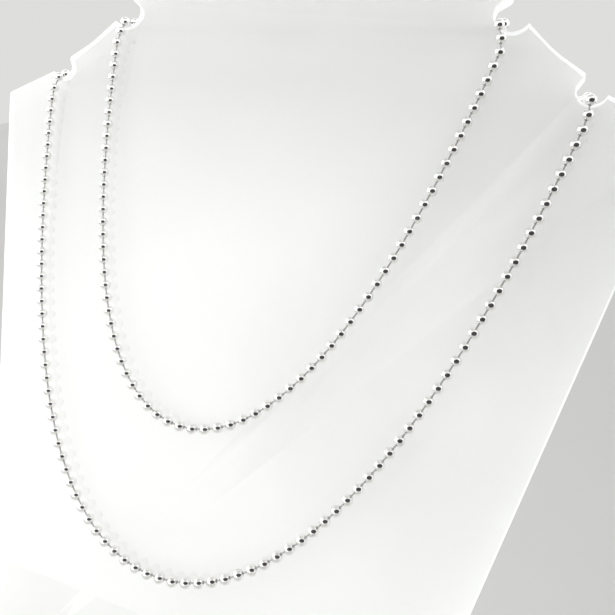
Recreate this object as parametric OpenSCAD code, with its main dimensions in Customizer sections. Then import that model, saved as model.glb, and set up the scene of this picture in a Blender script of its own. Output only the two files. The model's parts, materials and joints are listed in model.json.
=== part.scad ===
/* [Stand] */
// Thickness of the bent acrylic sheet
sheet_t = 3; // [2:0.5:5]
// Lean of the front panel back from upright, in degrees
panel_lean = 28; // [20:1:34]
// Rise of the neck's top above the inner notches' centres
neck_rise = 14; // [12:0.2:24]
// How far the shoulder corners lie beyond the outer notches' centres, sideways
shoulder_out = 16.7; // [13:0.1:22]
// How far the shoulder corners lie below the outer notches' centres
shoulder_drop = 7.6; // [5:0.2:10]
// Width across the top of the neck
neck_w = 76; // [60:1:84]
// Radius of the two corners at the top of the neck
neck_r = 6; // [2:1:10]
// Width of the foot plate and of the panel where it meets the bend
foot_w = 90; // [80:1:110]
// Depth of the foot plate, back from the floor line
foot_d = 104; // [95:1:130]
// Radius of the foot plate's two rear corners
foot_r = 10; // [3:1:20]
// Inside radius of the bend between panel and foot
bend_r = 3; // [2:0.5:6]

/* [Notches] */
// Sideways place of the inner pair of notches
inner_x = 49.2; // [46:0.1:54]
// Height of the inner notches' centres up the slope
inner_h = 176.8; // [165:0.2:190]
// Radius of the inner notches
inner_r = 3.9; // [3.4:0.1:4.4]
// How far the outer notches' centres lie beyond the inner ones, sideways
outer_out = 17.3; // [16:0.1:20]
// How far the outer notches' centres lie below the inner ones
outer_below = 15.8; // [13:0.2:18]
// Radius of the outer notches
outer_r = 3; // [2.6:0.1:4]

/* [Chain] */
// Diameter of each hollow ball
ball_d = 2.4; // [1.8:0.1:2.6]
// Wall of each hollow ball
ball_wall = 0.25; // [0.2:0.05:0.4]
// Spacing of the balls along the chain
ball_pitch = 3.175; // [3:0.005:3.4]
// Diameter of the wire that links the balls
wire_d = 0.35; // [0.3:0.05:0.5]
// Play between the wire and each hole that it passes
wire_play = 0.15; // [0.12:0.01:0.2]
// Gap between the balls and the sheet that they lie on
lay_gap = 0.18; // [0.12:0.02:0.3]
// How far the inner run hangs below its notches
inner_drop = 90.1; // [80:0.1:100]
// How far the outer run hangs below its notches
outer_drop = 106.7; // [95:0.1:112]
// How far the lowest point of each run lies to one side
sway = 7; // [0:0.5:9]
// Sag of the hidden stretch that lies next to the stand
near_sag = 6; // [1:0.5:8]
// Sag of the hidden stretch that crosses behind the first
far_sag = 8; // [1:0.5:10]

/* [Connector] */
// Length of the connector that joins the two ends of the chain
clip_len = 9.4; // [8:0.1:9.8]
// Diameter of the connector
clip_d = 3.4; // [3:0.1:4]
// Place of the connector along the far hidden stretch, as a share
clip_share = 0.3; // [0.2:0.05:0.35]

/* [Hidden] */
$fn = 48;

// Stand: named places that follow the sizes above
bend_out = bend_r + sheet_t;
// Length of flat that the bend takes from the panel and from the foot
bend_run = bend_out / tan((90 - panel_lean) / 2);
// Front-most reach of the bend and middle of the stand, back from the floor line
bend_front = bend_run - bend_out;
middle = (foot_d + bend_front) / 2;
bend_steps = 24;
bend_margin = 2;

// Small corner radii of the sheet's cut outline
corner_r = 1;
tip_r = 0.8;
// Heights and sideways steps of the cut outline, from the notch centres
outer_tip = [2.9, -0.9];
outer_wall_top = [-1.4, 3.2];
inner_tip = [3.4, -1.9];
inner_wall_top = [-0.2, 4.2];
// Point half way up the hollow slope between the two notches
slope_dip = 0.8;

// Chain: clear distance from a ball's centre to the sheet
lay = ball_d / 2 + lay_gap;
hole_d = wire_d + 2 * wire_play;
// Length of chain below each notch that bends in towards it
hook_len = 4;
// Where each run leaves its left and its right notch, in degrees from straight down
inner_seats = [12, 38];
outer_seats = [18, 4];
// Where the chain leaves every notch behind the panel
back_seat = 60;
// How far each run has slipped to the left at its right notch
inner_slip = 1;
outer_slip = 0.4;
wire_sides = 6;
run_steps = 60;
stretch_steps = 24;
// Balls whose place the connector takes
clip_balls = 3;

// Places on the panel are [across, up the slope, out of the front face]
function mirrored(p) = [-p[0], p[1], p[2]];
function reversed(pts) = [for (i = [len(pts) - 1:-1:0]) pts[i]];
function unit(v) = v / norm(v);
function mix(a, b, t) = a + (b - a) * t;

// Points of an arc, from one angle to another
function arc(centre, r, from, to, steps) =
    [for (i = [0:steps]) let (a = from + (to - from) * i / steps) centre + r * [cos(a), sin(a)]];

// Points that round one corner of an outline
function rounded(before, at, after, r) =
    let (
        back = unit(before - at),
        on = unit(after - at),
        half = acos(max(-1, min(1, back * on))) / 2,
        reach = min(r / tan(half), norm(before - at) / 2, norm(after - at) / 2),
        radius = reach * tan(half),
        centre = at + unit(back + on) * radius / sin(half),
        start = at + back * reach - centre,
        end = at + on * reach - centre,
        from = atan2(start[1], start[0]),
        turn = atan2(end[1], end[0]) - from,
        sweep = turn > 180 ? turn - 360 : turn < -180 ? turn + 360 : turn
    )
    arc(centre, radius, from, from + sweep, 6);

function joined(lists) = [for (part = lists) for (p = part) p];

inner_c = [inner_x, inner_h];
outer_c = inner_c + [outer_out, -outer_below];
// The sheet stays as wide as the foot over the bend and a little above it
foot_corner = [foot_w / 2, bend_run + bend_margin];
shoulder = outer_c + [shoulder_out, -shoulder_drop];
panel_len = inner_h + neck_rise;
outer_top = outer_c + outer_wall_top;
inner_peak = inner_c + inner_tip;
outer_peak = outer_c + outer_tip;
neck_side = inner_c + inner_wall_top;
neck_top = [neck_w / 2, panel_len];
slope_line = unit(inner_peak - outer_top);
slope_mid = mix(outer_top, inner_peak, 0.5) + slope_dip * [-slope_line[1], slope_line[0]];

// Right half of the sheet's outline, from well below the bend up to the neck
function right_half() = joined([
    [[foot_w / 2, -foot_d], foot_corner],
    rounded(foot_corner, shoulder, outer_peak, corner_r),
    arc(outer_c, outer_r, -17, -190, 24),
    rounded(outer_c + outer_r * [cos(-190), sin(-190)], outer_top, slope_mid, tip_r),
    rounded(outer_top, slope_mid, inner_peak, 30),
    arc(inner_c, inner_r, -29, -210, 24),
    rounded(inner_c + inner_r * [cos(-210), sin(-210)], neck_side, neck_top, tip_r),
    rounded(neck_side, neck_top, [0, panel_len], neck_r)
]);

module panel_outline() {
    half = right_half();
    polygon(joined([half, [for (p = reversed(half)) [-p[0], p[1]]]]));
}

// Stands the panel's own frame on the floor, leaning back
module on_panel() {
    translate([0, -middle, 0]) rotate([90 - panel_lean, 0, 0]) children();
}

// Side view of the bent sheet, as [back from the floor line, up]
function sheet_profile() =
    let (
        slope = [sin(panel_lean), cos(panel_lean)],
        behind = sheet_t * [cos(panel_lean), -sin(panel_lean)],
        centre = [bend_run, bend_out],
        top = (panel_len + sheet_t) * slope
    )
    joined([
        [[foot_d, 0], [foot_d, sheet_t]],
        arc(centre, bend_r, -90, -180 - panel_lean, bend_steps),
        [top + behind, top],
        arc(centre, bend_out, -180 - panel_lean, -90, bend_steps)
    ]);

// The bent sheet before its outline is cut
module bent_sheet() {
    translate([-shoulder[0], -middle, 0])
        rotate([90, 0, 90]) linear_extrude(2 * shoulder[0]) polygon(sheet_profile());
}

// What the panel's outline keeps of it
module panel_cut() {
    on_panel() translate([0, 0, -bend_run]) linear_extrude(bend_run + sheet_t) panel_outline();
}

module foot_cut() {
    translate([0, -middle, -1]) linear_extrude(sheet_t + 2) {
        translate([-foot_w / 2, 0]) square([foot_w, foot_d - foot_r]);
        translate([-foot_w / 2 + foot_r, 0]) square([foot_w - 2 * foot_r, foot_d]);
        for (side = [-1, 1])
            translate([side * (foot_w / 2 - foot_r), foot_d - foot_r]) circle(foot_r);
    }
}

module stand() {
    color("whitesmoke") intersection() {
        bent_sheet();
        union() {
            panel_cut();
            foot_cut();
        }
    }
}

// Hanging curve: the size that gives this drop over this half span, by halving
function hang_size(half, drop, low, high, turns) =
    let (mid = (low + high) / 2)
    turns == 0 ? mid
    : mid * (cosh(half / mid) - 1) > drop ? hang_size(half, drop, mid, high, turns - 1)
    : hang_size(half, drop, low, mid, turns - 1);

function cosh(x) = (exp(x) + exp(-x)) / 2;
function sinh(x) = (exp(x) - exp(-x)) / 2;
function asinh(x) = ln(x + sqrt(x * x + 1));

// One front run, from the left notch to the right one, evenly spaced
function front_run(x, end_h, drop, slip) =
    let (
        half = x - slip / 2,
        size = hang_size(half, drop, half / 8, half * 8, 40),
        reach = size * sinh(half / size)
    )
    [for (i = [0:run_steps])
        let (
            s = reach * (2 * i / run_steps - 1),
            rise = sqrt(size * size + s * s) - size
        )
        [size * asinh(s / size) - slip / 2 - sway * (1 - rise / drop), end_h - drop + rise, lay]];

// The chain over a right-hand notch, from the front face to the back face
function crossing(centre, r, seat) =
    let (
        front = [-sin(seat), -cos(seat)],
        back = [-sin(back_seat), -cos(back_seat)],
        front_edge = centre + r * front,
        back_edge = centre + r * back
    )
    joined([
        [for (a = [90, 60, 30, 0])
            let (p = front_edge - front * lay * cos(a)) [p[0], p[1], lay * sin(a)]],
        [for (a = [0, 30, 60, 90])
            let (p = back_edge - back * lay * cos(a)) [p[0], p[1], -sheet_t - lay * sin(a)]]
    ]);

// A hidden stretch between two places behind the panel, sagging and standing off
function stretch(from, to, sag, off) =
    [for (i = [1:stretch_steps - 1])
        let (t = i / stretch_steps, bow = 4 * t * (1 - t))
        mix(from, to, t) - bow * [0, sag * cos(panel_lean), sag * sin(panel_lean) + off]];

function spread(pts) = [for (p = pts) mirrored(p)];
function last(pts) = pts[len(pts) - 1];

inner_left = spread(reversed(crossing(inner_c, inner_r, inner_seats[0])));
inner_right = crossing(inner_c, inner_r, inner_seats[1]);
outer_left = spread(reversed(crossing(outer_c, outer_r, outer_seats[0])));
outer_right = crossing(outer_c, outer_r, outer_seats[1]);
inner_run = front_run(inner_c[0], inner_c[1] - inner_r - hook_len, inner_drop, inner_slip);
outer_run = front_run(outer_c[0], outer_c[1] - outer_r - hook_len, outer_drop, outer_slip);
// The far stretch crosses the near one a ball and a gap behind it
cross_off = ball_d + 2 * lay_gap;

// The whole loop, which starts where the connector closes it
near_stretch = stretch(last(inner_right), outer_left[0], near_sag, 0);
far_stretch = stretch(last(outer_right), inner_left[0], far_sag, cross_off);
clip_at = round(clip_share * len(far_stretch));
loop = joined([
    [for (i = [clip_at:len(far_stretch) - 1]) far_stretch[i]],
    inner_left,
    inner_run,
    inner_right,
    near_stretch,
    outer_left,
    outer_run,
    outer_right,
    [for (i = [0:clip_at]) far_stretch[i]]
]);

// Distance along the loop at each of its points
function running(pts) =
    [for (i = 0, s = 0; i < len(pts);
        s = s + (i < len(pts) - 1 ? norm(pts[i + 1] - pts[i]) : 0), i = i + 1) s];
function seek(along, s, j) = j < len(along) - 2 && along[j + 1] < s ? seek(along, s, j + 1) : j;
along = running(loop);
loop_len = last(along);
// Places of balls round the loop, the first of them at the connector's middle
places = round(loop_len / ball_pitch);
step = loop_len / places;
function place(s, j) = mix(loop[j], loop[j + 1], (s - along[j]) / (along[j + 1] - along[j]));
centres =
    [for (k = 0, j = 0; k < places; k = k + 1, j = seek(along, k * step, j))
        place(k * step, j)];

clip_reach = (clip_balls - 1) / 2;
first_ball = clip_reach + 1;
last_ball = places - 1 - clip_reach;

module along_line(direction) {
    rotate([0, acos(direction[2]), atan2(direction[1], direction[0])]) children();
}

// One hollow ball with a hole towards each of its neighbours
module ball(at, before, after) {
    lie = unit(after - before);
    translate(at) difference() {
        along_line(lie) rotate([90, 0, 0]) sphere(d = ball_d);
        along_line(lie) rotate([90, 0, 0]) sphere(d = ball_d - 2 * ball_wall);
        along_line(unit(before - at)) cylinder(d = hole_d, h = ball_d);
        along_line(unit(after - at)) cylinder(d = hole_d, h = ball_d);
    }
}

module chain_balls() {
    color("silver") on_panel()
        for (k = [first_ball:last_ball])
            ball(centres[k], centres[k - 1], centres[(k + 1) % places]);
}

// Wire: an open line of joints whose two ends stop inside the connector
wire_line = [for (k = [1:places - 1]) centres[k]];
function wire_dir(i) =
    unit(wire_line[min(i + 1, len(wire_line) - 1)] - wire_line[max(i - 1, 0)]);
function squared(v, axis) = unit(v - (v * axis) * axis);
wire_frames =
    [for (i = 0, side = squared([0, 0, 1], wire_dir(0)); i < len(wire_line);
        i = i + 1, side = squared(side, wire_dir(min(i, len(wire_line) - 1)))) side];

module chain_wire() {
    count = len(wire_line);
    points = [for (i = [0:count - 1])
        let (out = wire_frames[i], over = cross(wire_dir(i), out))
        for (j = [0:wire_sides - 1])
            let (a = 360 * j / wire_sides)
            wire_line[i] + wire_d / 2 * (cos(a) * out + sin(a) * over)];
    sides = [for (i = [0:count - 2]) for (j = [0:wire_sides - 1])
        let (
            a = i * wire_sides + j,
            b = i * wire_sides + (j + 1) % wire_sides
        )
        [a, a + wire_sides, b + wire_sides, b]];
    near_end = [for (j = [0:wire_sides - 1]) j];
    far_end = [for (j = [wire_sides - 1:-1:0]) (count - 1) * wire_sides + j];
    color("gray") on_panel()
        polyhedron(points = points, faces = concat([near_end], sides, [far_end]));
}

module connector() {
    straight = clip_len - clip_d;
    color("silver") on_panel()
        translate(centres[0])
            along_line(unit(centres[1] - centres[places - 1]))
                difference() {
                    union() {
                        cylinder(d = clip_d, h = straight, center = true);
                        for (end = [-1, 1])
                            translate([0, 0, end * straight / 2]) sphere(d = clip_d);
                    }
                    cylinder(d = hole_d, h = 2 * clip_len, center = true);
                }
}

stand();
chain_balls();
chain_wire();
connector();
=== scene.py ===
"""Dress the ball chain necklace and its acrylic display stand.

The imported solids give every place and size. This script models the pieces that show,
gives each one its finish, and sets the studio and the camera.
"""

from __future__ import annotations

import json
import logging
import math
from collections.abc import Callable
from dataclasses import dataclass, field
from enum import Enum

import bpy
import numpy as np
from mathutils import Matrix, Vector

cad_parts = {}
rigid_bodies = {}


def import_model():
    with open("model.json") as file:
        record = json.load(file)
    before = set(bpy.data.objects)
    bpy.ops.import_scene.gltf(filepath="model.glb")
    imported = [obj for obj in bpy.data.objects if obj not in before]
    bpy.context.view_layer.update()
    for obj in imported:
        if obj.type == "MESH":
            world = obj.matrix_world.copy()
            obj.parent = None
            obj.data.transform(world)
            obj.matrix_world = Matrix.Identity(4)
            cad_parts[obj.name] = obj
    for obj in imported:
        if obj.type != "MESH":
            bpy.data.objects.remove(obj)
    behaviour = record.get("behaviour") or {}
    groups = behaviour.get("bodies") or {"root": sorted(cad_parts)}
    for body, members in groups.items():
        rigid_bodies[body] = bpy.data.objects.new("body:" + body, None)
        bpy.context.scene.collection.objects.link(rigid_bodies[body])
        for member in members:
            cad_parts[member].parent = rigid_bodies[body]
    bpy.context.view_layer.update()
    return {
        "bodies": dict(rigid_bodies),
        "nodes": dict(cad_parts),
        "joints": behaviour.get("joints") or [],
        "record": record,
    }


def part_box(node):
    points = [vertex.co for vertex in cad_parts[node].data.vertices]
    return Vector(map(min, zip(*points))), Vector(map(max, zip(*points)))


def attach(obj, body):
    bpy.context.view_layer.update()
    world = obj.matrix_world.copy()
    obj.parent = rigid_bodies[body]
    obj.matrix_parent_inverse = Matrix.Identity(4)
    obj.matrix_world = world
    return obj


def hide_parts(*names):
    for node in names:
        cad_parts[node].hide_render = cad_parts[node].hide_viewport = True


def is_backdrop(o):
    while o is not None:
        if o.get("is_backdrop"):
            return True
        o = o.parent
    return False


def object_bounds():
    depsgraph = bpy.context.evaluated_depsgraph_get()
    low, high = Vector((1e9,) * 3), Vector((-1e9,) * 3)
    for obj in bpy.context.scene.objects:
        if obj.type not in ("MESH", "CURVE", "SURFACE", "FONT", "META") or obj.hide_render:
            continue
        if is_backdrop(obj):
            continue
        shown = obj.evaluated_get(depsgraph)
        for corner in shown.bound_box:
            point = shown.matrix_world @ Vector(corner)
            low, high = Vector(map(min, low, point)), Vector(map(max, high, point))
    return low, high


LOG = logging.getLogger("necklace")
MM = 0.001


class Side(Enum):
    """The three kinds of surface on the cut sheet, in the order of its material slots."""

    POLISHED = 0
    FROSTED = 1
    EDGE = 2


def linear(colour: str) -> tuple[float, float, float, float]:
    """Turn an sRGB hex value into the linear colour that a shader needs.

    Args:
        colour: Six hex digits after a hash sign.

    Returns:
        Linear red, green and blue, with an alpha of 1.
    """
    coded = [int(colour[i : i + 2], 16) / 255 for i in (1, 3, 5)]
    red, green, blue = (
        c / 12.92 if c <= 0.04045 else ((c + 0.055) / 1.055) ** 2.4 for c in coded
    )
    return (red, green, blue, 1.0)


def add_node(
    tree: bpy.types.NodeTree,
    kind: str,
    settings: dict | None = None,
    links: dict | None = None,
) -> bpy.types.Node:
    """Add one shader node with its settings and links.

    Args:
        tree: The node tree that gets the node.
        kind: The node's type, such as ShaderNodeTexNoise.
        settings: Values by the name of an input or of a property.
        links: Output sockets by the name or number of the input that they feed.

    Returns:
        The new node.
    """
    node = tree.nodes.new(kind)
    for name, value in (settings or {}).items():
        if isinstance(name, int) or name in node.inputs:
            node.inputs[name].default_value = value
        else:
            setattr(node, name, value)
    for name, source in (links or {}).items():
        tree.links.new(source, node.inputs[name])
    return node


def empty_material(name: str) -> tuple[bpy.types.Material, bpy.types.NodeTree]:
    """Make a material with no nodes in it.

    Args:
        name: The finish's own name.

    Returns:
        The material and its node tree.
    """
    material = bpy.data.materials.new(name)
    material.use_nodes = True
    material.node_tree.nodes.clear()
    return material, material.node_tree


def only(obj: bpy.types.Object) -> None:
    """Make one object the active and the only selected one.

    Args:
        obj: The object to work on.
    """
    for other in bpy.context.selected_objects:
        other.select_set(False)
    obj.select_set(True)
    bpy.context.view_layer.objects.active = obj


def select_faces(obj: bpy.types.Object, test: Callable[[Vector, Vector], bool]) -> None:
    """Select the faces that pass a test, and leave the object in edit mode.

    Args:
        obj: The object whose faces are tested.
        test: Says from a face's centre and normal whether it is selected.
    """
    only(obj)
    bpy.ops.object.mode_set(mode="EDIT")
    bpy.ops.mesh.select_mode(type="FACE")
    bpy.ops.mesh.select_all(action="DESELECT")
    bpy.ops.object.mode_set(mode="OBJECT")
    for face in obj.data.polygons:
        face.select = test(face.center, face.normal)
    bpy.ops.object.mode_set(mode="EDIT")


def finish_mode() -> None:
    """Leave edit mode."""
    bpy.ops.object.mode_set(mode="OBJECT")


def apply_modifiers(obj: bpy.types.Object) -> None:
    """Apply every modifier of an object, in order.

    Args:
        obj: The object whose modifiers become mesh.
    """
    only(obj)
    for name in [m.name for m in obj.modifiers]:
        bpy.ops.object.modifier_apply(modifier=name)


def cut(obj: bpy.types.Object, cutter: bpy.types.Object) -> None:
    """Cut one object out of another and delete the cutter.

    Args:
        obj: The object that is cut.
        cutter: The object that is taken away from it.
    """
    boolean = obj.modifiers.new("cut", "BOOLEAN")
    boolean.operation = "DIFFERENCE"
    boolean.solver = "EXACT"
    boolean.object = cutter
    apply_modifiers(obj)
    bpy.data.objects.remove(cutter)


def soften(obj: bpy.types.Object, width_mm: float, sharp_deg: float) -> None:
    """Round a piece's sharp edges a little.

    Args:
        obj: The piece.
        width_mm: Width of the rounding on each side of an edge.
        sharp_deg: The least angle at an edge that is rounded.
    """
    bevel = obj.modifiers.new("soften", "BEVEL")
    bevel.width = width_mm * MM
    bevel.segments = 2
    bevel.angle_limit = math.radians(sharp_deg)
    apply_modifiers(obj)


def points_of(mesh: bpy.types.Mesh) -> np.ndarray:
    """Read a mesh's points.

    Args:
        mesh: The mesh to read.

    Returns:
        One row of x, y and z for each point.
    """
    flat = np.zeros(len(mesh.vertices) * 3)
    mesh.vertices.foreach_get("co", flat)
    return flat.reshape(-1, 3)


def turned_to(direction: Vector) -> np.ndarray:
    """Give the turn that stands a shape's Z axis along a direction.

    Args:
        direction: Where the shape's Z axis goes.

    Returns:
        A 3 by 3 rotation matrix.
    """
    return np.array(direction.to_track_quat("Z", "Y").to_matrix())


@dataclass(frozen=True)
class PlatedBall:
    """Bright nickel plate on a tumbled steel ball: a mirror with a faint haze.

    The seam is where the strip that the ball was rolled from closes.
    """

    name: str = "nickel_plate"
    colour: str = "#f8f7f5"
    seam_colour: str = "#8f8d8a"
    roughness: float = 0.07
    haze_mm: float = 0.35
    haze_range: tuple[float, float] = (0.6, 1.5)
    seam_mm: float = 0.09
    ball_mm: float = 2.4

    def material(self) -> bpy.types.Material:
        """Make the plate's material.

        Returns:
            A metal whose roughness varies a little, with one fine seam on each ball.
        """
        material, tree = empty_material(self.name)
        place = add_node(tree, "ShaderNodeTexCoord")
        haze = add_node(
            tree,
            "ShaderNodeTexNoise",
            {"Scale": 1 / (self.haze_mm * MM), "Detail": 3.0},
            {"Vector": place.outputs["Object"]},
        )
        rough = add_node(
            tree,
            "ShaderNodeMapRange",
            {
                "To Min": self.roughness * self.haze_range[0],
                "To Max": self.roughness * self.haze_range[1],
            },
            {"Value": haze.outputs["Fac"]},
        )
        wrap = add_node(tree, "ShaderNodeUVMap", {"uv_map": "UVMap"})
        across = add_node(tree, "ShaderNodeSeparateXYZ", links={"Vector": wrap.outputs["UV"]})
        width = self.seam_mm / (math.pi * self.ball_mm)
        seam = add_node(
            tree,
            "ShaderNodeMath",
            {"operation": "COMPARE", 1: 0.5, 2: width / 2},
            {0: across.outputs["X"]},
        )
        tint = add_node(
            tree,
            "ShaderNodeMix",
            {"data_type": "RGBA", 6: linear(self.colour), 7: linear(self.seam_colour)},
            {0: seam.outputs["Value"]},
        )
        metal = add_node(
            tree,
            "ShaderNodeBsdfPrincipled",
            {"Metallic": 1.0},
            {"Roughness": rough.outputs["Result"], "Base Color": tint.outputs[2]},
        )
        add_node(tree, "ShaderNodeOutputMaterial", links={"Surface": metal.outputs["BSDF"]})
        return material


@dataclass(frozen=True)
class PlatedSleeve:
    """Bright nickel plate on pressed strip, with fine marks round the barrel."""

    name: str = "nickel_plated_strip"
    colour: str = "#eae9e6"
    dull_colour: str = "#c9c7c2"
    roughness: float = 0.12
    mark_mm: float = 0.5
    mark_range: tuple[float, float] = (0.7, 1.8)

    def material(self) -> bpy.types.Material:
        """Make the strip's material.

        Returns:
            A metal with soft cloudy marks in its colour and its roughness.
        """
        material, tree = empty_material(self.name)
        place = add_node(tree, "ShaderNodeTexCoord")
        marks = add_node(
            tree,
            "ShaderNodeTexNoise",
            {"Scale": 1 / (self.mark_mm * MM), "Detail": 4.0, "Distortion": 0.6},
            {"Vector": place.outputs["Object"]},
        )
        tint = add_node(
            tree,
            "ShaderNodeMix",
            {"data_type": "RGBA", 6: linear(self.colour), 7: linear(self.dull_colour)},
            {0: marks.outputs["Fac"]},
        )
        rough = add_node(
            tree,
            "ShaderNodeMapRange",
            {
                "To Min": self.roughness * self.mark_range[0],
                "To Max": self.roughness * self.mark_range[1],
            },
            {"Value": marks.outputs["Fac"]},
        )
        metal = add_node(
            tree,
            "ShaderNodeBsdfPrincipled",
            {"Metallic": 1.0},
            {"Roughness": rough.outputs["Result"], "Base Color": tint.outputs[2]},
        )
        add_node(tree, "ShaderNodeOutputMaterial", links={"Surface": metal.outputs["BSDF"]})
        return material


@dataclass(frozen=True)
class DrawnWire:
    """Bare drawn steel wire: darker and duller than the plated balls it links."""

    name: str = "drawn_wire"
    colour: str = "#c9c8c6"
    dark_colour: str = "#a8a7a4"
    roughness: float = 0.3
    grain_mm: float = 0.15

    def material(self) -> bpy.types.Material:
        """Make the wire's material.

        Returns:
            A metal whose colour shifts along each short link.
        """
        material, tree = empty_material(self.name)
        place = add_node(tree, "ShaderNodeTexCoord")
        grain = add_node(
            tree,
            "ShaderNodeTexNoise",
            {"Scale": 1 / (self.grain_mm * MM), "Detail": 2.0},
            {"Vector": place.outputs["Object"]},
        )
        tint = add_node(
            tree,
            "ShaderNodeMix",
            {"data_type": "RGBA", 6: linear(self.colour), 7: linear(self.dark_colour)},
            {0: grain.outputs["Fac"]},
        )
        metal = add_node(
            tree,
            "ShaderNodeBsdfPrincipled",
            {"Metallic": 1.0, "Roughness": self.roughness},
            {"Base Color": tint.outputs[2]},
        )
        add_node(tree, "ShaderNodeOutputMaterial", links={"Surface": metal.outputs["BSDF"]})
        return material


@dataclass(frozen=True)
class ClearFace:
    """Cast acrylic sheet's clear face: glassy, with a few hairline rubs."""

    name: str = "clear_acrylic"
    tint: str = "#fdfefe"
    ior: float = 1.49
    roughness: float = 0.02
    rubbed_roughness: float = 0.07
    rub_mm: float = 3.0
    rub_edges: tuple[float, float] = (0.55, 0.8)

    def material(self) -> bpy.types.Material:
        """Make the clear face's material.

        Returns:
            A transmissive shader whose roughness rises a little in soft patches.
        """
        material, tree = empty_material(self.name)
        place = add_node(tree, "ShaderNodeTexCoord")
        rubs = add_node(
            tree,
            "ShaderNodeTexNoise",
            {"Scale": 1 / (self.rub_mm * MM), "Detail": 5.0, "Distortion": 1.5},
            {"Vector": place.outputs["Object"]},
        )
        rough = add_node(
            tree,
            "ShaderNodeMapRange",
            {
                "From Min": self.rub_edges[0],
                "From Max": self.rub_edges[1],
                "To Min": self.roughness,
                "To Max": self.rubbed_roughness,
            },
            {"Value": rubs.outputs["Fac"]},
        )
        clear = add_node(
            tree,
            "ShaderNodeBsdfPrincipled",
            {"Base Color": linear(self.tint), "IOR": self.ior, "Transmission Weight": 1.0},
            {"Roughness": rough.outputs["Result"]},
        )
        add_node(tree, "ShaderNodeOutputMaterial", links={"Surface": clear.outputs["BSDF"]})
        return material


@dataclass(frozen=True)
class FrostedFace:
    """Acrylic's sand-frosted face: white, even and lit through from behind."""

    name: str = "frosted_acrylic"
    colour: str = "#fbfbfa"
    shade: str = "#f5f5f3"
    through: float = 0.3
    cloud_mm: float = 25.0
    ior: float = 1.49
    roughness: float = 0.6
    rough_spread: float = 0.08

    def material(self) -> bpy.types.Material:
        """Make the frosted face's material.

        Returns:
            A matt white that passes about a third of the light that falls behind it.
        """
        material, tree = empty_material(self.name)
        place = add_node(tree, "ShaderNodeTexCoord")
        cloud = add_node(
            tree,
            "ShaderNodeTexNoise",
            {"Scale": 1 / (self.cloud_mm * MM), "Detail": 1.0},
            {"Vector": place.outputs["Object"]},
        )
        tint = add_node(
            tree,
            "ShaderNodeMix",
            {"data_type": "RGBA", 6: linear(self.colour), 7: linear(self.shade)},
            {0: cloud.outputs["Fac"]},
        )
        rough = add_node(
            tree,
            "ShaderNodeMapRange",
            {
                "To Min": self.roughness - self.rough_spread,
                "To Max": self.roughness + self.rough_spread,
            },
            {"Value": cloud.outputs["Fac"]},
        )
        matt = add_node(
            tree,
            "ShaderNodeBsdfPrincipled",
            {"IOR": self.ior},
            {"Base Color": tint.outputs[2], "Roughness": rough.outputs["Result"]},
        )
        glow = add_node(
            tree, "ShaderNodeBsdfTranslucent", links={"Color": tint.outputs[2]}
        )
        mix = add_node(
            tree,
            "ShaderNodeMixShader",
            {0: self.through},
            {1: matt.outputs["BSDF"], 2: glow.outputs["BSDF"]},
        )
        add_node(tree, "ShaderNodeOutputMaterial", links={"Surface": mix.outputs["Shader"]})
        return material


@dataclass(frozen=True)
class SawnEdge:
    """Acrylic's flame-polished cut edge, with a painted glow so that it shows whitest."""

    name: str = "cut_acrylic_edge"
    colour: str = "#ffffff"
    shade: str = "#f4f6f6"
    through: float = 0.5
    cut_mm: float = 0.6
    ior: float = 1.49
    roughness: float = 0.2
    # Strength of the painted glow: light that the edge gives off though it is no lamp
    painted_glow: float = 0.55

    def material(self) -> bpy.types.Material:
        """Make the cut edge's material.

        Returns:
            A smooth white with faint saw lines across the sheet's thickness, and a painted glow.
        """
        material, tree = empty_material(self.name)
        place = add_node(tree, "ShaderNodeTexCoord")
        saw = add_node(
            tree,
            "ShaderNodeTexNoise",
            {"Scale": 1 / (self.cut_mm * MM), "Detail": 2.0},
            {"Vector": place.outputs["Object"]},
        )
        tint = add_node(
            tree,
            "ShaderNodeMix",
            {"data_type": "RGBA", 6: linear(self.colour), 7: linear(self.shade)},
            {0: saw.outputs["Fac"]},
        )
        # The emission paints a white glow on the edge, standing in for light that the sheet
        # would gather
        smooth = add_node(
            tree,
            "ShaderNodeBsdfPrincipled",
            {
                "Roughness": self.roughness,
                "IOR": self.ior,
                "Emission Color": linear(self.colour),
                "Emission Strength": self.painted_glow,
            },
            {"Base Color": tint.outputs[2]},
        )
        glow = add_node(
            tree, "ShaderNodeBsdfTranslucent", links={"Color": tint.outputs[2]}
        )
        mix = add_node(
            tree,
            "ShaderNodeMixShader",
            {0: self.through},
            {1: smooth.outputs["BSDF"], 2: glow.outputs["BSDF"]},
        )
        add_node(tree, "ShaderNodeOutputMaterial", links={"Surface": mix.outputs["Shader"]})
        return material


@dataclass
class ChainRoute:
    """Where the chain's balls lie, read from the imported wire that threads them."""

    reach_mm: float = 0.5
    step_mm: float = 3.4
    centres: list[Vector] = field(default_factory=list)

    def read(self, wire: bpy.types.Object) -> None:
        """Find each ball's centre and put them in order from one end to the other.

        Args:
            wire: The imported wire, whose cross-sections lie one at each ball's centre.
        """
        points = np.unique(np.round(points_of(wire.data), 7), axis=0)
        left = np.ones(len(points), bool)
        rings = []
        for i in range(len(points)):
            if left[i]:
                near = left & (np.linalg.norm(points - points[i], axis=1) < self.reach_mm * MM)
                left &= ~near
                rings.append(points[near].mean(axis=0))
        rings = np.array(rings)
        gaps = np.linalg.norm(rings[:, None] - rings[None], axis=2)
        neighbours = (gaps < self.step_mm * MM).sum(axis=1) - 1
        order = [int(np.argmin(neighbours))]
        unused = set(range(len(rings))) - set(order)
        while unused:
            order.append(min(unused, key=lambda j: gaps[order[-1], j]))
            unused.remove(order[-1])
        self.centres = [Vector(rings[j]) for j in order]


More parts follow.
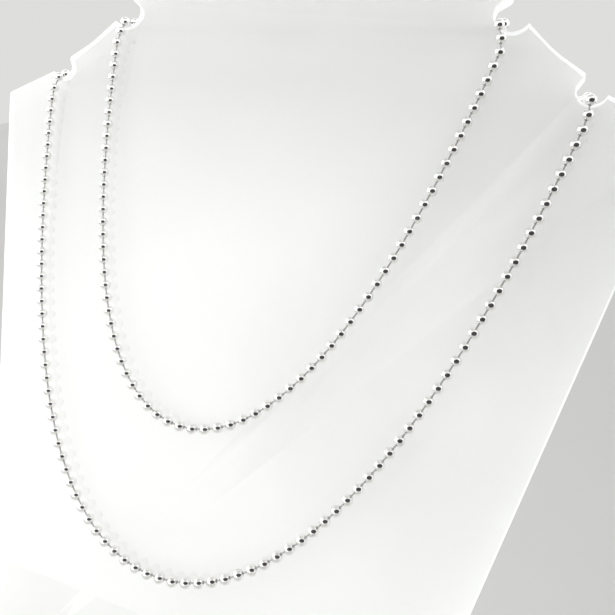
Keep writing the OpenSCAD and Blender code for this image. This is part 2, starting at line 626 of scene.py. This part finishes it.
@dataclass
class BallRow:
    """All the balls of the chain: one is modelled, and each copy bends to its links."""

    diameter_mm: float = 2.4
    hole_mm: float = 0.65
    recess_mm: float = 0.5
    segments: int = 12
    rings: int = 8
    twist_deg: float = 137.5
    bend_share: float = 0.55
    smooth_deg: float = 50.0
    finish: PlatedBall = field(default_factory=PlatedBall)

    def master(self) -> bpy.types.Object:
        """Model one ball with a drilled recess at each of its two ends.

        Returns:
            The ball, centred on the origin with its holes along Z.
        """
        radius = self.diameter_mm / 2 * MM
        bpy.ops.mesh.primitive_uv_sphere_add(
            segments=self.segments, ring_count=self.rings, radius=radius
        )
        ball = bpy.context.active_object
        cap = radius * math.cos(math.pi / self.rings)
        select_faces(ball, lambda c, n: abs(c.z) > cap)
        bpy.ops.mesh.dissolve_faces()
        rim = radius * math.sin(math.pi / self.rings) - self.hole_mm / 2 * MM
        bpy.ops.mesh.inset(thickness=rim)
        for end in (1, -1):
            select_faces(ball, lambda c, n, e=end: self.is_hole(c * e, n * e, cap))
            bpy.ops.mesh.extrude_region_move(
                TRANSFORM_OT_translate={"value": (0, 0, -end * self.recess_mm * MM)}
            )
        finish_mode()
        only(ball)
        bpy.ops.object.shade_smooth_by_angle(angle=math.radians(self.smooth_deg))
        return ball

    def is_hole(self, centre: Vector, normal: Vector, cap: float) -> bool:
        """Say whether a face is the flat disc in the middle of the ball's upper end.

        Args:
            centre: The face's centre.
            normal: The face's normal.
            cap: Height of the ball's flat end.

        Returns:
            True for the disc that the hole is pushed in from.
        """
        level = centre.z > cap * 0.999 and normal.z > 0.99
        return level and math.hypot(centre.x, centre.y) < self.hole_mm / 4 * MM

    def bent(self, shape: np.ndarray, before: Vector, after: Vector, twist: float) -> np.ndarray:
        """Turn a ball so that each of its two holes faces the next ball.

        Args:
            shape: The modelled ball's points.
            before: Direction to the ball before it.
            after: Direction to the ball after it.
            twist: Turn of the ball about its own axis, in radians.

        Returns:
            The turned points, about the ball's own centre.
        """
        axis = (after - before).normalized()
        half = before.angle(after)
        lean = (math.pi - half) / 2
        side = before + after
        side = side.normalized() if side.length > 1e-4 else axis.orthogonal().normalized()
        spin = np.array(Matrix.Rotation(twist, 3, "Z"))
        points = shape @ spin.T
        reach = self.bend_share * self.diameter_mm / 2 * MM
        share = np.clip(points[:, 2] / reach, -1, 1)
        angle = lean * share
        x = points[:, 0] * np.cos(angle) + points[:, 2] * np.sin(angle)
        z = points[:, 2] * np.cos(angle) - points[:, 0] * np.sin(angle)
        up = axis.cross(side)
        frame = np.array([side, up, axis])
        return np.column_stack([x, points[:, 1], z]) @ frame

    def build(self, route: ChainRoute) -> bpy.types.Object:
        """Copy the ball to every place on the chain and join the copies.

        Args:
            route: The chain's places, in order.

        Returns:
            One piece that holds every ball.
        """
        master = self.master()
        master.data.materials.append(self.finish.material())
        shape = points_of(master.data)
        centres = route.centres
        copies = []
        for k, centre in enumerate(centres):
            before = (centres[max(k - 1, 0)] - centre).normalized()
            after = (centres[min(k + 1, len(centres) - 1)] - centre).normalized()
            if k == 0:
                before = -after
            if k == len(centres) - 1:
                after = -before
            copy = master.copy()
            copy.data = master.data.copy()
            twist = math.radians(self.twist_deg * k)
            points = self.bent(shape, before, after, twist) + np.array(centre)
            copy.data.vertices.foreach_set("co", points.ravel())
            bpy.context.collection.objects.link(copy)
            copies.append(copy)
        only(copies[0])
        for copy in copies:
            copy.select_set(True)
        bpy.ops.object.join()
        row = bpy.context.active_object
        bpy.data.objects.remove(master)
        row.name = "nickel_balls"
        return row


@dataclass
class WireLinks:
    """The short wires between the balls, each flared where it enters a ball."""

    wire_mm: float = 0.35
    flare_mm: float = 0.5
    flare_share: float = 0.16
    inset_mm: float = 0.72
    sides: int = 8
    smooth_deg: float = 50.0
    finish: DrawnWire = field(default_factory=DrawnWire)

    def master(self) -> bpy.types.Object:
        """Model one link along Z, 1 long, with a flare at each end.

        Returns:
            The link, centred on the origin.
        """
        bpy.ops.mesh.primitive_circle_add(
            vertices=self.sides, radius=self.flare_mm / 2 * MM, fill_type="NGON",
            location=(0, 0, -0.5),
        )
        link = bpy.context.active_object
        bpy.ops.object.transform_apply(location=True)
        bpy.ops.object.mode_set(mode="EDIT")
        bpy.ops.mesh.select_all(action="SELECT")
        waist = self.wire_mm / self.flare_mm
        flare = self.flare_share
        for height, scale in ((flare, waist), (1 - 2 * flare, 1.0), (flare, 1 / waist)):
            bpy.ops.mesh.extrude_region_move(TRANSFORM_OT_translate={"value": (0, 0, height)})
            bpy.ops.transform.resize(value=(scale, scale, 1))
        bpy.ops.mesh.select_all(action="SELECT")
        bpy.ops.mesh.normals_make_consistent(inside=False)
        finish_mode()
        bpy.ops.object.shade_smooth_by_angle(angle=math.radians(self.smooth_deg))
        return link

    def build(self, route: ChainRoute) -> bpy.types.Object:
        """Copy the link between each two balls and join the copies.

        Args:
            route: The chain's places, in order.

        Returns:
            One piece that holds every link.
        """
        master = self.master()
        master.data.materials.append(self.finish.material())
        shape = points_of(master.data)
        copies = []
        for start, end in zip(route.centres, route.centres[1:]):
            run = end - start
            length = run.length - 2 * self.inset_mm * MM
            copy = master.copy()
            copy.data = master.data.copy()
            sized = shape * np.array([1, 1, length])
            points = sized @ turned_to(run).T + np.array((start + end) / 2)
            copy.data.vertices.foreach_set("co", points.ravel())
            bpy.context.collection.objects.link(copy)
            copies.append(copy)
        only(copies[0])
        for copy in copies:
            copy.select_set(True)
        bpy.ops.object.join()
        row = bpy.context.active_object
        bpy.data.objects.remove(master)
        row.name = "wire_links"
        return row


@dataclass
class BarrelConnector:
    """The pressed barrel that holds the chain's two end balls."""

    length_mm: float = 9.4
    diameter_mm: float = 3.4
    wall_mm: float = 0.35
    round_mm: float = 1.1
    round_steps: int = 5
    slit_mm: float = 0.9
    slit_depth: float = 0.9
    window_mm: float = 2.6
    hole_mm: float = 0.9
    soften_mm: float = 0.05
    sharp_deg: float = 50.0
    smooth_deg: float = 35.0
    finish: PlatedSleeve = field(default_factory=PlatedSleeve)

    def barrel(self, shrink: float) -> bpy.types.Object:
        """Model a barrel with rounded ends, along Z.

        Args:
            shrink: How much smaller than the outside it is all round, in millimetres.

        Returns:
            The closed barrel.
        """
        bpy.ops.mesh.primitive_cylinder_add(
            vertices=32,
            radius=(self.diameter_mm / 2 - shrink) * MM,
            depth=(self.length_mm - 2 * shrink) * MM,
        )
        barrel = bpy.context.active_object
        select_faces(barrel, lambda c, n: abs(n.z) > 0.9)
        bpy.ops.mesh.bevel(
            offset=(self.round_mm - shrink / 2) * MM, segments=self.round_steps, affect="EDGES"
        )
        finish_mode()
        return barrel

    def build(self, centre: Vector, along: Vector, open_to: Vector) -> bpy.types.Object:
        """Model the connector and put it in its place on the chain.

        Args:
            centre: The connector's middle.
            along: Direction of the chain through it.
            open_to: Direction that its slit faces.

        Returns:
            The connector, hollow, with a slit, a window and two end holes.
        """
        outer = self.barrel(0)
        cut(outer, self.barrel(self.wall_mm))
        bpy.ops.mesh.primitive_cylinder_add(
            vertices=20, radius=self.hole_mm / 2 * MM, depth=2 * self.length_mm * MM
        )
        cut(outer, bpy.context.active_object)
        bpy.ops.mesh.primitive_cube_add(size=MM, location=(self.diameter_mm / 2 * MM, 0, 0))
        slit = bpy.context.active_object
        slit.scale = (self.diameter_mm * self.slit_depth, self.slit_mm, self.length_mm * 1.2)
        bpy.ops.object.transform_apply(location=True, rotation=True, scale=True)
        cut(outer, slit)
        bpy.ops.mesh.primitive_cylinder_add(
            vertices=28,
            radius=self.window_mm / 2 * MM,
            depth=self.diameter_mm * MM,
            location=(self.diameter_mm / 2 * MM, 0, 0),
            rotation=(0, math.pi / 2, 0),
        )
        bpy.ops.object.transform_apply(location=True, rotation=True, scale=True)
        cut(outer, bpy.context.active_object)
        soften(outer, self.soften_mm, self.sharp_deg)
        side = (open_to - open_to.project(along)).normalized()
        frame = Matrix([side, along.cross(side).normalized(), along.normalized()]).transposed()
        outer.data.transform(Matrix.Translation(centre) @ frame.to_4x4())
        outer.data.materials.append(self.finish.material())
        only(outer)
        bpy.ops.object.shade_smooth_by_angle(angle=math.radians(self.smooth_deg))
        outer.name = "barrel_connector"
        return outer


@dataclass
class AcrylicStand:
    """The bent sheet: clear in front, frosted behind, with softened cut edges."""

    sheet_mm: float = 3.0
    lean_deg: float = 28.0
    bend_inside_mm: float = 3.0
    merge_mm: float = 0.001
    flat_deg: float = 0.5
    soften_mm: float = 0.22
    sharp_deg: float = 40.0
    smooth_deg: float = 25.0
    side_mm: float = 0.02
    clear: ClearFace = field(default_factory=ClearFace)
    frosted: FrostedFace = field(default_factory=FrostedFace)
    edge: SawnEdge = field(default_factory=SawnEdge)

    def depth(self, point: Vector, front: float) -> float:
        """Say how deep a point lies in the sheet, from its polished side.

        Args:
            point: A point of the stand.
            front: The bend's foremost place on Y.

        Returns:
            The depth in millimetres, from 0 at the polished side to the sheet's thickness.
        """
        bend = self.bend_inside_mm + self.sheet_mm
        run = bend / math.tan(math.radians((90 - self.lean_deg) / 2))
        lean = math.radians(self.lean_deg)
        y = (point.y - front) / MM + run - bend
        z = point.z / MM
        up = y * math.sin(lean) + z * math.cos(lean)
        if y >= run and z <= bend:
            return z
        if up >= run:
            return y * math.cos(lean) - z * math.sin(lean)
        return bend - math.hypot(y - run, z - bend)

    def side_of(self, mesh: bpy.types.Mesh, face: bpy.types.MeshPolygon, front: float) -> Side:
        """Say which kind of surface a face of the stand is.

        Args:
            mesh: The stand's mesh.
            face: One of its faces.
            front: The bend's foremost place on Y.

        Returns:
            Polished or frosted for the sheet's two sides, and edge for the rest.
        """
        depths = [self.depth(mesh.vertices[i].co, front) for i in face.vertices]
        if max(depths) < self.side_mm:
            return Side.POLISHED
        if min(depths) > self.sheet_mm - self.side_mm:
            return Side.FROSTED
        return Side.EDGE

    def build(self, solid: bpy.types.Object) -> bpy.types.Object:
        """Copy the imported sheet, soften its edges and dress its three kinds of surface.

        Args:
            solid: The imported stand.

        Returns:
            The dressed stand.
        """
        stand = solid.copy()
        stand.data = solid.data.copy()
        stand.parent = None
        for key in list(stand.keys()):
            del stand[key]
        bpy.context.collection.objects.link(stand)
        only(stand)
        bpy.ops.object.mode_set(mode="EDIT")
        bpy.ops.mesh.select_all(action="SELECT")
        bpy.ops.mesh.remove_doubles(threshold=self.merge_mm * MM)
        bpy.ops.mesh.dissolve_limited(angle_limit=math.radians(self.flat_deg))
        finish_mode()
        soften(stand, self.soften_mm, self.sharp_deg)
        stand.data.materials.clear()
        for finish in (self.clear, self.frosted, self.edge):
            stand.data.materials.append(finish.material())
        front = min(v.co.y for v in stand.data.vertices)
        for face in stand.data.polygons:
            face.material_index = self.side_of(stand.data, face, front).value
        only(stand)
        bpy.ops.object.shade_smooth_by_angle(angle=math.radians(self.smooth_deg))
        stand.name = "acrylic_stand"
        return stand


@dataclass(frozen=True)
class Lamp:
    """One soft lamp, which casts no shadow and shows in no mirror."""

    name: str
    kind: str
    place_m: tuple[float, float, float]
    aim_m: tuple[float, float, float]
    settings: dict[str, float]

    def build(self) -> None:
        """Set the lamp at its place, facing its aim."""
        data = bpy.data.lights.new(self.name, self.kind)
        data.use_shadow = False
        for key, value in self.settings.items():
            setattr(data, key, value)
        lamp = bpy.data.objects.new(self.name, data)
        lamp.location = self.place_m
        facing = Vector(self.aim_m) - Vector(self.place_m)
        lamp.rotation_euler = facing.to_track_quat("-Z", "Y").to_euler()
        lamp.visible_camera = False
        lamp.visible_glossy = False
        bpy.context.collection.objects.link(lamp)


# Low on the left, so the panel's left side is the brightest
LEFT_SOFTBOX = Lamp(
    name="left_softbox",
    kind="AREA",
    place_m=(-0.18, -0.11, 0.13),
    aim_m=(-0.07, 0, 0.10),
    settings={"size": 0.14, "energy": 0.13},
)
# A soft round pool on the middle of the panel
POOL_OF_LIGHT = Lamp(
    name="pool_of_light",
    kind="SPOT",
    place_m=(0.012, -0.291, 0.196),
    aim_m=(0.012, -0.026, 0.058),
    settings={
        "energy": 0.62,
        "spot_size": math.radians(34),
        "spot_blend": 0.4,
        "shadow_soft_size": 0.03,
    },
)


@dataclass
class Studio:
    """A pale floor in a white tent, two soft lamps, and a dark card round the lens."""

    floor_m: float = 1.6
    floor_colour: str = "#e6e6e4"
    floor_mottle: float = 6.0
    floor_roughness: tuple[float, float] = (0.5, 0.7)
    surround: str = "#ffffff"
    surround_strength: float = 0.68
    backdrop: str = "#dededc"
    backdrop_strength: float = 1.0
    mirrored_strength: float = 1.25
    window_strength: float = 1.8
    window_top: tuple[float, float] = (0.60, 0.45)
    window_right: tuple[float, float] = (0.08, -0.10)
    ceiling: str = "#c4c4c2"
    ceiling_azimuth: float = 210.0
    ceiling_elevation: float = 68.0
    ceiling_edges: tuple[float, float] = (48.0, 26.0)
    card_colour: str = "#464646"
    card_m: tuple[float, float] = (0.48, 0.25)
    card_aside_m: float = 0.05
    card_edges: tuple[float, float] = (0.28, 0.5)
    lamps: tuple[Lamp, ...] = (LEFT_SOFTBOX, POOL_OF_LIGHT)

    def floor(self) -> None:
        """Lay the pale floor under the stand."""
        bpy.ops.mesh.primitive_plane_add(size=self.floor_m)
        floor = bpy.context.active_object
        floor.name = "studio_floor"
        material, tree = empty_material("floor_paint")
        place = add_node(tree, "ShaderNodeTexCoord")
        mottle = add_node(
            tree,
            "ShaderNodeTexNoise",
            {"Scale": self.floor_mottle, "Detail": 2.0},
            {"Vector": place.outputs["Object"]},
        )
        rough = add_node(
            tree,
            "ShaderNodeMapRange",
            {"To Min": self.floor_roughness[0], "To Max": self.floor_roughness[1]},
            {"Value": mottle.outputs["Fac"]},
        )
        paint = add_node(
            tree,
            "ShaderNodeBsdfPrincipled",
            {"Base Color": linear(self.floor_colour)},
            {"Roughness": rough.outputs["Result"]},
        )
        add_node(tree, "ShaderNodeOutputMaterial", links={"Surface": paint.outputs["BSDF"]})
        floor.data.materials.append(material)
        floor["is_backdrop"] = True

    def lens_card(self, camera: bpy.types.Object) -> None:
        """Stand a dark card round the lens, which only reflections see.

        Args:
            camera: The camera at the photograph's place.
        """
        aside = camera.rotation_euler.to_matrix() @ Vector((self.card_aside_m, 0, 0))
        bpy.ops.mesh.primitive_plane_add(
            size=1.0, location=camera.location + aside, rotation=camera.rotation_euler
        )
        card = bpy.context.active_object
        card.name = "studio_card"
        card.scale = (*self.card_m, 1.0)
        material, tree = empty_material("dark_cloth")
        cloth = add_node(
            tree,
            "ShaderNodeBsdfPrincipled",
            {"Base Color": linear(self.card_colour), "Roughness": 1.0},
        )
        place = add_node(tree, "ShaderNodeTexCoord")
        reach = add_node(
            tree,
            "ShaderNodeVectorMath",
            {"operation": "LENGTH"},
            {0: place.outputs["Object"]},
        )
        gap = add_node(tree, "ShaderNodeBsdfTransparent")
        soft = add_node(
            tree,
            "ShaderNodeMixShader",
            links={
                0: self.share_of(tree, reach.outputs["Value"], self.card_edges),
                1: cloth.outputs["BSDF"],
                2: gap.outputs["BSDF"],
            },
        )
        add_node(tree, "ShaderNodeOutputMaterial", links={"Surface": soft.outputs["Shader"]})
        card.data.materials.append(material)
        card.visible_camera = False
        card.visible_diffuse = False
        card.visible_transmission = False
        card.visible_shadow = False
        card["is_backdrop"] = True

    def share_of(
        self, tree: bpy.types.NodeTree, value: bpy.types.NodeSocket, edges: tuple[float, float]
    ) -> bpy.types.NodeSocket:
        """Rise softly from 0 to 1 as a value goes from one edge to the other.

        Args:
            tree: The node tree that gets the node.
            value: The value that is read.
            edges: Where the share is 0 and where it is 1.

        Returns:
            The share.
        """
        share = add_node(
            tree,
            "ShaderNodeMapRange",
            {"interpolation_type": "SMOOTHSTEP", "From Min": edges[0], "From Max": edges[1]},
            {"Value": value},
        )
        return share.outputs["Result"]

    def mirrored(self, tree: bpy.types.NodeTree) -> bpy.types.Node:
        """Make what the plate and the polished sheet mirror.

        Args:
            tree: The world's node tree.

        Returns:
            White, with a grey ceiling over the back and a bright window low on the left.
        """
        azimuth = math.radians(self.ceiling_azimuth)
        elevation = math.radians(self.ceiling_elevation)
        towards = (
            math.sin(azimuth) * math.cos(elevation),
            -math.cos(azimuth) * math.cos(elevation),
            math.sin(elevation),
        )
        way = add_node(tree, "ShaderNodeTexCoord")
        facing = add_node(
            tree,
            "ShaderNodeVectorMath",
            {"operation": "DOT_PRODUCT", 1: towards},
            {0: way.outputs["Generated"]},
        )
        edges = tuple(math.cos(math.radians(a)) for a in self.ceiling_edges)
        tone = add_node(
            tree,
            "ShaderNodeMix",
            {"data_type": "RGBA", 6: linear(self.surround), 7: linear(self.ceiling)},
            {0: self.share_of(tree, facing.outputs["Value"], edges)},
        )
        tent = add_node(
            tree,
            "ShaderNodeBackground",
            {"Strength": self.mirrored_strength},
            {"Color": tone.outputs[2]},
        )
        window = add_node(
            tree,
            "ShaderNodeBackground",
            {"Color": linear(self.surround), "Strength": self.window_strength},
        )
        split = add_node(
            tree, "ShaderNodeSeparateXYZ", links={"Vector": way.outputs["Generated"]}
        )
        share = add_node(
            tree,
            "ShaderNodeMath",
            {"operation": "MULTIPLY"},
            {
                0: self.share_of(tree, split.outputs["Z"], self.window_top),
                1: self.share_of(tree, split.outputs["X"], self.window_right),
            },
        )
        return add_node(
            tree,
            "ShaderNodeMixShader",
            links={
                0: share.outputs["Value"],
                1: tent.outputs["Background"],
                2: window.outputs["Background"],
            },
        )

    def surroundings(self) -> None:
        """Make the world: what lights the part, what it mirrors and what is seen behind it."""
        world = bpy.data.worlds.new("studio")
        bpy.context.scene.world = world
        world.use_nodes = True
        tree = world.node_tree
        tree.nodes.clear()
        light = add_node(
            tree,
            "ShaderNodeBackground",
            {"Color": linear(self.surround), "Strength": self.surround_strength},
        )
        seen = add_node(
            tree,
            "ShaderNodeBackground",
            {"Color": linear(self.backdrop), "Strength": self.backdrop_strength},
        )
        path = add_node(tree, "ShaderNodeLightPath")
        unseen = add_node(
            tree,
            "ShaderNodeMixShader",
            links={
                0: path.outputs["Is Glossy Ray"],
                1: light.outputs["Background"],
                2: self.mirrored(tree).outputs["Shader"],
            },
        )
        mix = add_node(
            tree,
            "ShaderNodeMixShader",
            links={
                0: path.outputs["Is Camera Ray"],
                1: unseen.outputs["Shader"],
                2: seen.outputs["Background"],
            },
        )
        add_node(tree, "ShaderNodeOutputWorld", links={"Surface": mix.outputs["Shader"]})

    def build(self, camera: bpy.types.Object) -> None:
        """Set the whole studio.

        Args:
            camera: The camera at the photograph's place.
        """
        self.floor()
        self.lens_card(camera)
        self.surroundings()
        for lamp in self.lamps:
            lamp.build()


@dataclass
class PhotoCamera:
    """The camera at the photograph's place: close in, to the right and looking down.

    The picture is a crop, so the lens's axis lies off its middle by the shift.
    """

    place_mm: tuple[float, float, float] = (62.9, -109.1, 153.2)
    azimuth_deg: float = 21.05
    down_deg: float = 20.0
    roll_deg: float = 0.52
    lens_mm: float = 35.09
    film_mm: float = 36.0
    shift: tuple[float, float] = (-0.0436, -0.1012)
    reach_m: tuple[float, float] = (0.005, 50.0)

    def build(self) -> bpy.types.Object:
        """Make the camera and hand it to the scene.

        Returns:
            The camera.
        """
        data = bpy.data.cameras.new("photo_camera")
        data.lens = self.lens_mm
        data.sensor_width = self.film_mm
        data.shift_x, data.shift_y = self.shift
        data.clip_start, data.clip_end = self.reach_m
        camera = bpy.data.objects.new("photo_camera", data)
        camera.location = Vector(self.place_mm) * MM
        camera.rotation_euler = (
            math.radians(90 - self.down_deg),
            0,
            math.radians(self.azimuth_deg),
        )
        camera.rotation_euler.rotate_axis("Z", math.radians(self.roll_deg))
        bpy.context.collection.objects.link(camera)
        bpy.context.scene.camera = camera
        return camera


def stand_for(piece: bpy.types.Object, node: str) -> None:
    """Ride a finished piece on the stand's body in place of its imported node.

    Args:
        piece: The finished piece.
        node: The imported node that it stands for.
    """
    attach(piece, "root")
    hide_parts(node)
    LOG.info("%s: %d faces", piece.name, len(piece.data.polygons))


def main() -> None:
    """Load the frame, build every piece, and set the studio and the camera."""
    logging.basicConfig(level=logging.INFO, format="%(name)s: %(message)s")
    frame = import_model()
    bpy.context.scene.view_settings.view_transform = "Standard"
    camera = PhotoCamera().build()
    nodes = frame["nodes"]

    stand_for(AcrylicStand().build(nodes["stand"]), "stand")
    route = ChainRoute()
    route.read(nodes["chain_wire"])
    LOG.info("chain: %d places", len(route.centres))
    stand_for(BallRow().build(route), "chain_balls")
    stand_for(WireLinks().build(route), "chain_wire")
    low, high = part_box("connector")
    along = route.centres[0] - route.centres[-1]
    backwards = Vector((0, 1, 0))
    connector = BarrelConnector().build((low + high) / 2, along, backwards)
    stand_for(connector, "connector")
    Studio().build(camera)

    low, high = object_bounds()


if __name__ == "__main__":
    main()
